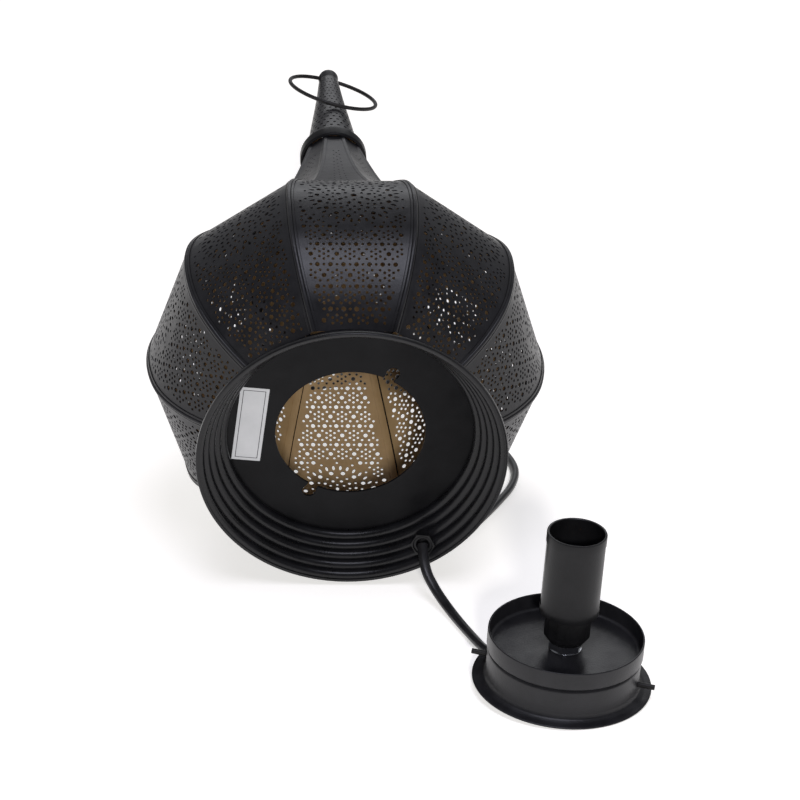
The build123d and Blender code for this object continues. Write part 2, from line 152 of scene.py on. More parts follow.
axis_dir = -Vector(mounts["standing_rim"]["axis"]).normalized()
opening_centre = Vector(mounts["base_opening"]["pos_m"])
base_centre = opening_centre - axis_dir * (recess_depth + plate_thickness / 2) * mm
lantern = local_matrix(base_centre, (1, 0, 0), axis_dir)
insert_up = Vector(mounts["lamp_socket"]["axis"]).normalized()
insert_centre = Vector(mounts["lamp_socket"]["pos_m"]) - insert_up * socket_height * mm
insert_x = (cos(radians(pin_direction)), sin(radians(pin_direction)), 0)
insert = local_matrix(insert_centre, insert_x, insert_up)
lead_x = (cos(radians(lead_direction)), sin(radians(lead_direction)), 0)
clamp = local_matrix(insert_centre, lead_x, insert_up)


def radial(angle):
    """Direction square to the lantern's axis in its local plane, at an angle from the top."""
    return np.array((sin(radians(angle)), -cos(radians(angle)), 0.0))


def at(x, y, z):
    """Point in metres, from millimetres beside the floor point below the rim's centre."""
    return Vector((base_centre.x + x * mm, base_centre.y + y * mm, z * mm))


# ---------------- materials
def node(tree, kind, values=(), **settings):
    """A shader node with its settings and the values of its inputs."""
    made = tree.nodes.new(kind)
    for name, value in settings.items():
        setattr(made, name, value)
    for name, value in values:
        made.inputs[name].default_value = value
    return made


def ramp(tree, source, low, high, start=0.3, end=0.7):
    """Colours between low and high, from a node's output."""
    made = node(tree, "ShaderNodeValToRGB")
    first, last = made.color_ramp.elements
    first.position, last.position = start, end
    first.color = (*low, 1)
    last.color = (*high, 1)
    tree.links.new(source, made.inputs["Fac"])
    return made.outputs["Color"]


def surface(name, dark, light, roughness, grain, metallic=0.0, specular=0.5, bump=0.02, bump_scale=5.0):
    """A finish whose colour and roughness drift with broad noise, over a bump of fine noise."""
    material = bpy.data.materials.new(name)
    material.use_nodes = True
    tree = material.node_tree
    shader = tree.nodes["Principled BSDF"]
    shader.inputs["Metallic"].default_value = metallic
    shader.inputs["Specular IOR Level"].default_value = specular
    place = node(tree, "ShaderNodeTexCoord")
    broad = node(tree, "ShaderNodeTexNoise", [("Scale", grain), ("Detail", 6.0), ("Roughness", 0.6)])
    fine = node(tree, "ShaderNodeTexNoise", [("Scale", grain * bump_scale), ("Detail", 3.0)])
    tree.links.new(place.outputs["Object"], broad.inputs["Vector"])
    tree.links.new(place.outputs["Object"], fine.inputs["Vector"])
    tree.links.new(ramp(tree, broad.outputs["Fac"], dark, light), shader.inputs["Base Color"])
    rough = node(tree, "ShaderNodeMapRange", [("From Min", 0.3), ("From Max", 0.7),
                                              ("To Min", roughness[0]), ("To Max", roughness[1])])
    tree.links.new(broad.outputs["Fac"], rough.inputs["Value"])
    tree.links.new(rough.outputs["Result"], shader.inputs["Roughness"])
    relief = node(tree, "ShaderNodeBump", [("Strength", bump), ("Distance", mm)])
    tree.links.new(fine.outputs["Fac"], relief.inputs["Height"])
    tree.links.new(relief.outputs["Normal"], shader.inputs["Normal"])
    return material


black_paint = surface("satin_black_paint", (0.0055, 0.0055, 0.0066), (0.0125, 0.0125, 0.0145), (0.30, 0.42),
                      90, specular=0.36, bump=0.10, bump_scale=14)
base_paint = surface("base_black_paint", (0.0035, 0.0035, 0.0040), (0.007, 0.007, 0.0078), (0.30, 0.42), 60,
                     specular=0.11, bump=0.05, bump_scale=18)
skirt_paint = surface("skirt_black_paint", (0.003, 0.003, 0.0035), (0.006, 0.006, 0.0072), (0.24, 0.34), 60,
                      specular=0.34, bump=0.05, bump_scale=18)
# Painted shade: a darker, duller black for the ribs' creases and grooves and one inner edge of each fold,
# standing in for the shade there
crease_shade_paint = surface("painted_crease_shade", (0.003, 0.003, 0.003), (0.006, 0.006, 0.006), (0.6, 0.8), 200,
                       specular=0.15)
gold_inside = surface("gold_lacquer", (0.30, 0.200, 0.098), (0.40, 0.273, 0.142), (0.40, 0.58), 45,
                      metallic=0.30, bump=0.12, bump_scale=9)
wire_black = surface("wire_black", (0.006, 0.006, 0.006), (0.016, 0.015, 0.015), (0.35, 0.55), 160,
                     specular=0.25)
plastic_black = surface("moulded_black", (0.004, 0.004, 0.0045), (0.008, 0.008, 0.009), (0.28, 0.38), 120,
                        specular=0.26, bump=0.06, bump_scale=12)
pvc_black = surface("lead_pvc", (0.007, 0.007, 0.008), (0.014, 0.014, 0.015), (0.28, 0.42), 150,
                    specular=0.40, bump=0.05)
zinc = surface("zinc_plate", (0.60, 0.61, 0.64), (0.78, 0.80, 0.83), (0.12, 0.22), 160, metallic=1.0,
               bump=0.03)
brass = surface("brass", (0.55, 0.38, 0.14), (0.72, 0.55, 0.25), (0.22, 0.36), 200, metallic=1.0, bump=0.05)
label_paper = surface("label_paper", (0.41, 0.415, 0.43), (0.48, 0.485, 0.50), (0.45, 0.60), 70, bump=0.04)
label_line = surface("label_line", (0.02, 0.02, 0.025), (0.05, 0.05, 0.055), (0.5, 0.6), 200)

# Slots with their materials
painted = ("black_paint", black_paint)
moulded = ("black_plastic", plastic_black)
plated = ("zinc_steel", zinc)


# ---------------- mesh helpers
weld = 1e-7


def piece(name, mesh, body, slot, materials, replaced=(), crease=32):
    """Links a finished mesh, rides it on its body and hides the CAD nodes it stands for."""
    for material in materials:
        mesh.materials.append(material)
    mesh.shade_smooth()
    mesh.set_sharp_from_angle(angle=radians(crease))
    made = bpy.data.objects.new(name, mesh)
    bpy.context.scene.collection.objects.link(made)
    if body:
        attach(made, body)
    if replaced:
        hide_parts(*replaced)
    return made


def solid_mesh(name, vertices, faces, matrix=None, indices=None):
    """Mesh from local millimetre points, welded and with its normals pointing out."""
    mesh = bpy.data.meshes.new(name)
    mesh.from_pydata([tuple(vertex) for vertex in vertices], [], faces)
    if indices is not None:
        mesh.polygons.foreach_set("material_index", indices)
    if matrix is not None:
        mesh.transform(matrix)
    work = bmesh.new()
    work.from_mesh(mesh)
    bmesh.ops.remove_doubles(work, verts=work.verts, dist=weld)
    bmesh.ops.recalc_face_normals(work, faces=work.faces)
    work.to_mesh(mesh)
    work.free()
    return mesh


def rounded(outline, radius, steps=4):
    """A closed outline with its corners eased; a point on the axis stays as it is."""
    result = []
    for index, corner in enumerate(outline):
        corner = Vector(corner)
        before = Vector(outline[index - 1]) - corner
        after = Vector(outline[(index + 1) % len(outline)]) - corner
        if corner.x < 0.01:
            result.append(corner)
            continue
        start = corner + before.normalized() * min(radius, 0.45 * before.length)
        end = corner + after.normalized() * min(radius, 0.45 * after.length)
        for step in range(steps + 1):
            share = step / steps
            result.append((1 - share) ** 2 * start + 2 * share * (1 - share) * corner + share ** 2 * end)
    return result


def bands(rows, count, closed=False):
    """Quads between rows of points, each row a closed loop of count points."""
    faces = []
    for row in range(rows if closed else rows - 1):
        here = row * count
        after = (row + 1) % rows * count
        for index in range(count):
            follow = (index + 1) % count
            faces.append((here + index, here + follow, after + follow, after + index))
    return faces


def caps(rows, count):
    """The faces that close the first and the last row."""
    return [tuple(range(count)), tuple(range((rows - 1) * count, rows * count))]


def lathe(name, outline, matrix, segments, shape=None, turn=0.0):
    """Closed outline of (radius, height) points turned about local Z; shape may change each point."""
    vertices = []
    for segment in range(segments):
        angle = 2 * pi * segment / segments + radians(turn)
        for radius, height in outline:
            place = (radius * cos(angle), radius * sin(angle), height)
            vertices.append(shape(*place) if shape else place)
    return solid_mesh(name, vertices, bands(segments, len(outline), closed=True), matrix)


def turned_piece(name, outline, matrix, body, finish, replaced=(), segments=128, crease=32, **ways):
    """A lathe mesh as a piece; finish is a slot name, which is not used, and its material."""
    mesh = lathe(name, outline, matrix, segments, **ways)
    piece(name, mesh, body, finish[0], [finish[1]], replaced, crease)


def through(points, count):
    """Evenly spread samples of a natural cubic curve through 2-D points."""
    points = np.array(points, float)
    knots = np.concatenate(([0], np.cumsum(np.hypot(*np.diff(points, axis=0).T))))
    size = len(points)
    gaps = np.diff(knots)
    system = np.eye(size)
    slopes = np.zeros((size, 2))
    for index in range(1, size - 1):
        low, high = gaps[index - 1], gaps[index]
        system[index, index - 1:index + 2] = low, 2 * (low + high), high
        slopes[index] = 6 * ((points[index + 1] - points[index]) / high
                             - (points[index] - points[index - 1]) / low)
    bends = np.linalg.solve(system, slopes)
    samples = np.linspace(0, knots[-1], count)
    span = np.clip(np.searchsorted(knots, samples, side="right") - 1, 0, size - 2)
    gap = gaps[span][:, None]
    past = (samples - knots[span])[:, None]
    ahead = gap - past
    return (bends[span] * ahead ** 3 + bends[span + 1] * past ** 3) / (6 * gap) \
        + (points[span] / gap - bends[span] * gap / 6) * ahead \
        + (points[span + 1] / gap - bends[span + 1] * gap / 6) * past


class Fold:
    """One face of a ridged shell: unrolled flat, across by along, and placed back on the lantern."""

    def __init__(self, ridge, samples=400):
        heights, radii = through(ridge, samples).T
        self.height = heights
        self.apothem = radii * cos(radians(half_face))
        self.half_width = radii * sin(radians(half_face))
        self.along = np.concatenate(([0], np.cumsum(np.hypot(np.diff(self.height), np.diff(self.apothem)))))
        self.length = self.along[-1]

    def wide(self, along):
        """Half the face's width."""
        return np.interp(along, self.along, self.half_width)

    def profile(self, along):
        """Apothem, height, and the outward normal's two parts."""
        reach = 0.4         # each way, over which the slope is taken
        low = np.clip(along - reach, 0, self.length)
        high = np.clip(along + reach, 0, self.length)
        rise = np.interp(high, self.along, self.height) - np.interp(low, self.along, self.height)
        spread = np.interp(high, self.along, self.apothem) - np.interp(low, self.along, self.apothem)
        size = np.hypot(rise, spread)
        return (np.interp(along, self.along, self.apothem), np.interp(along, self.along, self.height),
                rise / size, -spread / size)

    def place(self, across, along, middle, lift):
        """Points of the face whose middle is at an angle from the top, lifted off it along its normal."""
        apothem, height, out_part, axis_part = self.profile(along)
        squeeze = 1 + lift * out_part * tan(radians(half_face)) / self.wide(along)
        outwards = (apothem + lift * out_part)[:, None] * radial(middle)
        sideways = (across * squeeze)[:, None] * radial(middle + 90)
        upwards = (height + lift * axis_part)[:, None] * np.array((0, 0, 1.0))
        return outwards + sideways + upwards


coarse_corners = 9
fine_corners = 12
fine_from = 0.8             # the radius past which a hole gets the finer outline
cut_tolerance = 1e-5


def perforate(outline, holes):
    """Triangles of a flat outline less its holes, each hole being (across, along, two radii, angle)."""
    points = [Vector(corner) for corner in outline]
    loops = [list(range(len(points)))]
    for across, along, long_radius, short_radius, angle in holes:
        corners = fine_corners if long_radius > fine_from else coarse_corners
        start = len(points)
        for corner in range(corners):
            turn = 2 * pi * corner / corners
            x, y = long_radius * cos(turn), short_radius * sin(turn)
            points.append(Vector((across + x * cos(angle) - y * sin(angle),
                                  along + x * sin(angle) + y * cos(angle))))
        loops.append(list(range(start, start + corners)))
    cut = delaunay_2d_cdt(points, [], loops, 1, cut_tolerance)
    kept = [face for face, sources in zip(cut[2], cut[5]) if list(sources) == [0]]
    return np.array([tuple(point) for point in cut[0]]), kept


def sheet_mesh(name, cut, outer, inner):
    """Closed sheet from a perforated flat pattern: painted outside and edges, and lacquered inside."""
    points, kept = cut
    count = len(points)
    outside = outer(points[:, 0], points[:, 1])
    inside = inner(points[:, 0], points[:, 1])
    edges = dict.fromkeys(edge for face in kept for edge in zip(face, face[1:] + face[:1]))
    rims = [(start, end) for start, end in edges if (end, start) not in edges]
    faces = [tuple(face) for face in kept]
    faces += [tuple(index + count for index in reversed(face)) for face in kept]
    faces += [(start, start + count, end + count, end) for start, end in rims]
    indices = [0] * len(kept) + [1] * len(kept) + [0] * len(rims)
    mesh = bpy.data.meshes.new(name)
    mesh.from_pydata(np.vstack((outside, inside)).tolist(), [], faces)
    mesh.polygons.foreach_set("material_index", indices)
    mesh.transform(lantern)
    work = bmesh.new()
    work.from_mesh(mesh)
    bmesh.ops.delete(work, geom=[vertex for vertex in work.verts if not vertex.link_faces], context="VERTS")
    work.to_mesh(mesh)
    work.free()
    return mesh


# ---------------- perforated faces
hole_pitch = 6.2
hole_shift = 1.0            # of the pattern from the middle of the face
lower_rows = (5.2, 5.43, 13)    # first row, step and count
upper_rows = (92.5, 5.22, 15)
small_hole = 0.72
large_hole = 1.16
flower_reach = (1.85, 2.55)
knot_reach = (2.1, 1.3)
face_margin = 4.6
end_margin = 3.0
rosette_along = 79.0
rosette_radius = 25.2
# Each ring: count, radius, the holes' two radii, and the turn in steps
rosette_rings = [(18, 23.9, 0.72, 0.72, 0.0), (36, 20.9, 1.42, 0.72, 0.5), (18, 17.8, 1.22, 1.22, 0.5),
                 (18, 15.0, 0.74, 0.74, 0.0), (18, 12.8, 0.88, 0.88, 0.5), (18, 10.3, 0.74, 0.74, 0.0),
                 (9, 7.6, 1.25, 0.9, 0.0), (6, 4.5, 0.85, 0.85, 0.0), (1, 0.0, 1.5, 1.5, 0.0)]


def dot(across, along, radius):
    """A round hole."""
    return across, along, radius, radius, 0.0


def large_row(along):
    """Large and small holes by turns."""
    holes = []
    for column in range(-5, 6):
        across = hole_shift + column * hole_pitch
        holes += [dot(across, along, large_hole), dot(across + hole_pitch / 2, along, small_hole)]
    return holes


def flower_row(along, side):
    """A large hole with four small ones round it, then a knot of seven small ones, by turns."""
    holes = []
    for column in range(-3, 4):
        across = hole_shift + (side / 2 + 2 * column) * hole_pitch
        holes.append(dot(across, along, large_hole))
        holes += [dot(across + x, along + y, small_hole) for x in (-flower_reach[0], flower_reach[0])
                  for y in (-flower_reach[1], flower_reach[1])]
        knot = [(0, 0), (0, flower_reach[1]), (0, -flower_reach[1])]
        knot += [(x, y) for x in (knot_reach[0], -knot_reach[0]) for y in (knot_reach[1], -knot_reach[1])]
        holes += [dot(across + hole_pitch + x, along + y, small_hole) for x, y in knot]
    return holes


def lattice(first, step, count, flowers_first):
    """Rows of the two kinds by turns, less the holes that fall on the rosette."""
    holes = []
    for row in range(count):
        along = first + row * step
        if (row % 2 == 0) == flowers_first:
            holes += flower_row(along, -1 if row // 2 % 2 == 0 else 1)
        else:
            holes += large_row(along)
    return [hole for hole in holes
            if hypot(hole[0] - hole_shift, hole[1] - rosette_along) > rosette_radius + hole[2]]


def rosette():
    """Rings of dots and petals round one centre."""
    holes = []
    for count, radius, long_radius, short_radius, shift in rosette_rings:
        for index in range(count):
            turn = pi / 2 + 2 * pi * (index + shift) / count
            holes.append((hole_shift + radius * cos(turn), rosette_along + radius * sin(turn),
                          long_radius, short_radius, turn))
    return holes


def clear(holes, fold, margin, gap=0.3):
    """The holes that keep to the face, less each that would run into one before it."""
    kept = []
    for hole in holes:
        across, along, long_radius, short_radius = hole[:4]
        if abs(across) + long_radius > fold.wide(along) - margin:
            continue
        if not end_margin < along < fold.length - end_margin:
            continue
        if all(hypot(across - other[0], along - other[1]) > short_radius + other[3] + gap for other in kept):
            kept.append(hole)
    return kept


outline_step = 3.0
foot_points = 12
head_points = 10


def face_outline(fold, inset):
    """Closed outline of an unrolled face."""
    rows = np.linspace(0, fold.length, ceil(fold.length / outline_step))
    right = [(fold.wide(along) - inset, along) for along in rows]
    left = [(inset - fold.wide(along), along) for along in rows[::-1]]
    foot = [(across, 0.0) for across in np.linspace(left[-1][0], right[0][0], foot_points)[1:-1]]
    head = [(across, fold.length) for across in np.linspace(right[-1][0], left[0][0], head_points)[1:-1]]
    return right + head + left + foot


painted_rows = 3            # at a strip's foot, where the lacquer would show by the rim
rib_rows = 72
seam_rows = 40


def strip_mesh(name, fold, middle, section, samples):
    """A strip folded over the ridge between two faces, from a closed list of (sideways, lift, paint)."""
    along = np.linspace(0, fold.length, samples)
    width = fold.wide(along)
    rows = []
    for sideways, lift, _ in section:
        left = fold.place(width - max(-sideways, 0), along, middle, lift)
        right = fold.place(max(sideways, 0) - width, along, middle + 2 * half_face, lift)
        rows.append(left if sideways < 0 else right if sideways > 0 else (left + right) / 2)
    vertices = np.array(rows).transpose(1, 0, 2).reshape(-1, 3)
    count = len(section)
    indices = [0, 0]
    for row in range(samples - 1):
        indices += [paint if row > painted_rows else 0 for _, _, paint in section]
    return solid_mesh(name, vertices, caps(samples, count) + bands(samples, count), lantern, indices)


# Paint 0 is black, 1 is the lacquer inside and 2 is painted shade: a darker, duller black laid in the
# creases at the rib's flanks and grooves and on one inner edge of the fold
rib_section = [(-2.6, 0.05, 2), (-2.5, 0.40, 0), (-1.9, 0.52, 0), (-1.45, 0.48, 2), (-1.3, 0.12, 2),
               (-1.15, 0.46, 0), (-0.7, 0.66, 0), (0, 0.71, 0), (0.7, 0.66, 0), (1.15, 0.46, 2),
               (1.3, 0.12, 2), (1.45, 0.48, 0), (1.9, 0.52, 0), (2.5, 0.40, 2), (2.6, 0.05, 0),
               (2.3, -0.6, 1), (2.1, -0.95, 1), (0, -1.1, 1), (-1.8, -1.45, 2), (-2.5, -0.6, 0)]
seam_section = [(-1.9, -0.04, 0), (-1.3, 0.26, 0), (-1.0, 0.30, 0), (-0.7, 0.22, 0), (-0.4, 0.30, 0),
                (0, 0.36, 0), (0.4, 0.30, 0), (0.7, 0.22, 0), (1.0, 0.30, 0), (1.3, 0.26, 0),
                (1.9, -0.04, 0), (1.1, -0.7, 1), (0, -0.75, 1), (-1.1, -0.7, 0)]


def add_shell(fold, cut, section, rows, face_name, face_node, strip_name, strip_nodes=()):
    """The pierced faces of a ridged shell and the strips over their joints; {} is a face's number."""
    for index in range(face_count):
        number = f"{index + 1:02d}"
        middle = index * 2 * half_face
        mesh = sheet_mesh(face_name + number, cut, lambda u, v: fold.place(u, v, middle, 0.0),
                          lambda u, v: fold.place(u, v, middle, -panel_sheet))
        piece(mesh.name, mesh, "root", "black_paint", [black_paint, gold_inside], [face_node.format(number)])
        mesh = strip_mesh(strip_name + number, fold, middle, section, rows)
        piece(mesh.name, mesh, "root", "black_paint", [black_paint, gold_inside, crease_shade_paint],
              [node_name.format(number) for node_name in strip_nodes], crease=40)


body = Fold(body_ridge)
body_cut = perforate(face_outline(body, inset=0.3),
                     clear(rosette() + lattice(*upper_rows, False) + lattice(*lower_rows, True),
                           body, face_margin))
add_shell(body, body_cut, rib_section, rib_rows, "panel_", "body_panel_{}", "rib_", ["body_rib_{}"])

neck = Fold(neck_ridge)
neck_rows = 11
neck_first_row = 18.0
neck_row_step = 6.6
neck_spread = 0.28          # of the face's half width
neck_hole = 0.5
neck_margin = 2.0


def neck_holes():
    """A short zigzag of small holes down the middle of a neck face."""
    holes = []
    for row in range(neck_rows):
        along = neck_first_row + row * neck_row_step
        reach = neck_spread * (neck.wide(along) - neck_margin)
        holes += [dot(side * reach, along + neck_row_step / 2 * abs(side), neck_hole) for side in (-1, 0, 1)]
    return holes


neck_cut = perforate(face_outline(neck, inset=0.05), clear(neck_holes(), neck, neck_margin))
add_shell(neck, neck_cut, seam_section, seam_rows, "neck_face_", "neck", "neck_seam_")

# Joint band where belly and neck meet
band_height = body_ridge[-1][0]
band_radius = body_ridge[-1][1]
band_outline = rounded([(band_radius - 1.6, band_height - 1.5), (band_radius + 0.9, band_height - 1.5),
                        (band_radius - 0.4, band_height + 1.1), (band_radius - 1.6, band_height + 1.1)], 0.4)
turned_piece("joint_band", band_outline, lantern, "root", painted, segments=face_count, crease=25,
             turn=half_face - 90)


# ---------------- spire
collar_outline = rounded([(17.0, collar_height - 2.4), (collar_radius, collar_height - 1.6),
                          (collar_radius, collar_height + 4.8), (15.6, spire_foot), (14.5, spire_foot),
                          (17.2, collar_height + 4.2)], 0.6)
turned_piece("collar", collar_outline, lantern, "root", ("black_paint", base_paint), ["spire_collar"])

spire_samples = through(spire_line, 120)
spire_along = np.concatenate(([0], np.cumsum(np.hypot(*np.diff(spire_samples, axis=0).T))))
spire_unrolled = 14.4       # the radius to which the pattern's width belongs
spire_rows = 17
spire_columns = 22
spire_margin = 4.0
spire_hole_across = 0.95
spire_hole_along = 0.8
spire_hole_least = 0.1
spire_foot_points = 97
spire_side_points = 30


def spire_place(across, along, lift):
    """Points of the spire's cone from its unrolled pattern."""
    height = np.interp(along, spire_along, spire_samples[:, 0])
    radius = np.interp(along, spire_along, spire_samples[:, 1]) + lift
    angle = across / spire_unrolled
    return np.stack((radius * np.cos(angle), radius * np.sin(angle), height), axis=-1)


def spire_holes():
    """Rows of small holes round the cone, shifted by half a step from row to row."""
    step = 2 * pi * spire_unrolled / spire_columns
    row_step = (spire_along[-1] - 2 * spire_margin) / (spire_rows - 1)
    holes = []
    for row in range(spire_rows):
        along = spire_margin + row * row_step
        shrink = np.interp(along, spire_along, spire_samples[:, 1]) / spire_unrolled
        reach = spire_hole_along * shrink + spire_hole_least
        for column in range(spire_columns):
            across = (column + 0.25 + 0.5 * (row % 2)) * step
            holes.append((across, along, spire_hole_across, reach, 0.0))
    return holes


spire_edge = 2 * pi * spire_unrolled
spire_shares = np.linspace(0, 1, spire_foot_points)
spire_steps = np.linspace(0, spire_along[-1], spire_side_points)
spire_outline = [(share * spire_edge, 0.0) for share in spire_shares[:-1]] \
    + [(spire_edge, along) for along in spire_steps[:-1]] \
    + [(share * spire_edge, spire_along[-1]) for share in spire_shares[:0:-1]] \
    + [(0.0, along) for along in spire_steps[:0:-1]]
spire_mesh = sheet_mesh("spire", perforate(spire_outline, spire_holes()),
                        lambda u, v: spire_place(u, v, 0.0), lambda u, v: spire_place(u, v, -panel_sheet))
piece("spire", spire_mesh, "root", "black_paint", [black_paint, gold_inside], ["spire_cone"])
foot_outline = rounded([(13.8, spire_foot - 0.4), (15.2, spire_foot - 0.2), (15.1, spire_foot + 1.0),
                        (14.5, spire_foot + 2.4), (13.8, spire_foot + 2.4)], 0.5)
turned_piece("spire_foot_ring", foot_outline, lantern, "root", painted)


# ---------------- hanging ring
ring_low, ring_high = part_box("hanging_ring")
ring_centre = (Vector(ring_low) + Vector(ring_high)) / 2
ring_pivot = Vector(joints["ring_swing"]["pos_m"])
ring_line = Vector(joints["ring_swing"]["axis"])
ring_fall = ring_centre - ring_pivot
ring_plane = local_matrix(ring_centre, ring_fall, ring_fall.cross(ring_line))
ring_radius = 25.3
ring_wire = 1.1
wire_corners = 16
wire_turns = [2 * pi * step / wire_corners for step in range(wire_corners)]
wire_section = [(ring_radius + ring_wire * cos(turn), ring_wire * sin(turn)) for turn in wire_turns]
turned_piece("ring", wire_section, ring_plane, "ring", ("dark_wire", wire_black), ["hanging_ring"],
             segments=144)


# ---------------- base
bead_steps = 9
bead_fullness = 0.75        # power of the sine; less makes a fuller bead


def beaded_wall():
    """The recess wall: rounded beads stepping in from the rim to the plate."""
    start = Vector((rim_radius - 1.2, 1.0))
    end = Vector((plate_radius - 0.9, recess_depth - 0.03))
    run = end - start
    inwards = Vector((-run.y, run.x)).normalized()
    front = []
    for bead in range(bead_count):
        for step in range(bead_steps):
            share = step / bead_steps
            swell = bead_depth * sin(pi * share) ** bead_fullness
            front.append(start + run * ((bead + share) / bead_count) + inwards * swell)
    front.append(end)
    back = [point - inwards * skirt_sheet for point in (end, start)]
    rim = [(rim_radius - 0.2, 2.6), (rim_radius, 2.2), (rim_radius, 0.5), (rim_radius - 0.2, 0.1),
           (rim_radius - 0.6, 0.0), (rim_radius - 1.4, 0.3)]
    return [tuple(point) for point in front + back] + rim


turned_piece("beaded_skirt", beaded_wall(), lantern, "root", ("black_paint", skirt_paint), ["base_skirt"],
             segments=192, crease=50)

bushing_out = Vector(radial(bushing_angle))
bushing_local = bushing_out * bushing_radius + Vector((0, 0, bushing_height))
bushing_facing = (bushing_out * bushing_aim[0] + Vector((0, 0, bushing_aim[1]))).normalized()
bushing_centre = lantern @ bushing_local
bushing_dir = (lantern.to_3x3() @ bushing_facing).normalized()
bushing = local_matrix(bushing_centre, (1, 0, 0), bushing_dir)
bushing_outline = rounded([(3.0, bushing_reach), (4.8, bushing_reach), (4.8, -5.6), (6.6, -5.6),
                           (6.6, -bushing_reach), (3.0, -bushing_reach)], 0.7)
turned_piece("bushing", bushing_outline, bushing, "root", moulded, ["cord_bushing"], segments=64)

label_plane = lantern @ Matrix.Translation((*label_place, recess_depth)) @ Matrix.Rotation(
    radians(label_turn), 4, "Z")


def sticker_mesh():
    """Plain sticker with slightly eased corners and a thin printed frame."""
    vertices = []
    rings = [(0.0, -0.01, 0), (0.0, -0.8 * label_thickness, 0), (0.12, -label_thickness, 0),
             (label_frame[0], -label_thickness, 1), (label_frame[1], -label_thickness, 0)]
    corners = 6             # points round each corner of the label
    for inset, height, _ in rings:
        corner_x = label_size[0] / 2 - inset - label_corner
        corner_y = label_size[1] / 2 - inset - label_corner
        for quarter in range(4):
            sign_x = (1, -1, -1, 1)[quarter]
            sign_y = (1, 1, -1, -1)[quarter]
            for step in range(corners):
                turn = pi / 2 * (quarter + step / (corners - 1))
                vertices.append((sign_x * corner_x + label_corner * cos(turn),
                                 sign_y * corner_y + label_corner * sin(turn), height))
    count = 4 * corners
    indices = [paint for _, _, paint in rings[:-1] for _ in range(count)] + [0, 0]
    faces = bands(len(rings), count) + caps(len(rings), count)
    return solid_mesh("sticker", vertices, faces, label_plane, indices)


piece("sticker", sticker_mesh(), "root", "label_paper", [label_paper, label_line], ["blank_label"])


# ---------------- insert
flange_outline = rounded([(flange_inner_radius, 0.1), (flange_radius - 0.4, 0.0), (flange_radius, 0.5),
                          (flange_radius - 0.3, 1.0), (insert_wall_radius + 2.6, 1.3),
                          (insert_wall_radius + 0.8, 2.0), (insert_wall_radius + 0.15, 3.8),
                          (insert_wall_radius, 6.0), (insert_wall_radius, tray_seam - 1.5),
                          (insert_wall_radius - 0.5, tray_seam - 0.7), (insert_wall_radius - 1, tray_seam),
                          (insert_wall_radius - 1, 3.0), (insert_wall_radius - 1.4, 1.0),
                          (flange_inner_radius, 1.0)], 0.7)
turned_piece("flange", flange_outline, insert, "insert", painted, ["insert_flange"], segments=160)
tray_floor = tray_seam + 1
tray_outline = rounded([(nipple_radius + 0.1, tray_seam), (tray_radius - 0.9, tray_seam + 0.1),
                        (tray_radius, tray_seam + 0.8), (tray_radius, tray_rim),
                        (tray_radius - 0.9, tray_rim), (tray_radius - 1, tray_floor + 0.8),
                        (tray_radius - 2.2, tray_floor), (nipple_radius + 0.1, tray_floor)], 0.45)
turned_piece("tray", tray_outline, insert, "insert", painted, ["insert_tray"], segments=160)


nut_blank_radius = 8.0
nut_row_shares = (0, 0.06, 0.14, 0.25, 0.5, 0.75, 0.86, 0.94, 1)
chamfer_slope = 1.7
chamfer_start = 1.02        # of the distance from the axis to a flat


def hexagon(half_flats, chamfer_low, chamfer_high):
    """Shape for lathe(): a hexagon whose corners are turned down at its two faces."""
    def shape(x, y, z):
        angle = atan2(y, x)
        radius = hypot(x, y)
        if radius < nipple_radius + 0.3:
            return x, y, z
        flat = half_flats / cos((angle + pi / 6) % (pi / 3) - pi / 6)
        turned = half_flats * chamfer_start + min(z - chamfer_low, chamfer_high - z) * chamfer_slope
        limit = min(flat, turned) / radius
        return x * limit, y * limit, z
    return shape


def nut(name, low, thickness, replaced):
    """Plated hexagon nut."""
    high = low + thickness
    side = [(nut_blank_radius, low + thickness * share) for share in nut_row_shares]
    turned_piece(name, [(nipple_radius, low), *side, (nipple_radius, high)], insert, "insert", plated,
                 [replaced], segments=144, crease=24, shape=hexagon(nut_across_flats / 2, low, high))


washer_radius = 7.6
washer_thickness = 0.5
washer_top = tray_floor + washer_thickness
lock_nut_thickness = 3.5
nut("plated_nut", washer_top, nut_thickness - washer_thickness, "holder_nut")
nut("lock_nut_under", tray_seam - lock_nut_thickness, lock_nut_thickness, "lock_nut")
washer_outline = rounded([(nipple_radius + 0.1, tray_floor), (washer_radius, tray_floor),
                          (washer_radius, washer_top), (nipple_radius + 0.1, washer_top)], 0.15)
turned_piece("washer", washer_outline, insert, "insert", plated, segments=72)

nut_top = tray_floor + nut_thickness
cap_outline = [(nipple_radius, nut_top), (holder_cap_radius - 2.4, nut_top),
               (holder_cap_radius - 0.2, nut_top + 3),
               (holder_cap_radius, nut_top + 3.6), (holder_cap_radius, holder_cap_top - 0.3),
               (holder_cap_radius - 0.5, holder_cap_top), (nipple_radius, holder_cap_top)]
turned_piece("holder_cap_faceted", cap_outline, insert, "insert", moulded, ["holder_cap"], segments=14,
             crease=12)

sleeve_foot = holder_cap_top + 0.4
slot_low = sleeve_foot + 4.0
slot_high = holder_top - 5.0
slot_depth = 0.5
slot_turn = radians(14.0)


def slotted(x, y, z):
    """Shape for lathe(): two long flats sunk in the sleeve's sides."""
    along = x * cos(slot_turn) + y * sin(slot_turn)
    limit = holder_radius - slot_depth
    if abs(along) <= limit or not slot_low < z < slot_high:
        return x, y, z
    spare = abs(along) - limit
    sign = 1 if along > 0 else -1
    return x - sign * spare * cos(slot_turn), y - sign * spare * sin(slot_turn), z


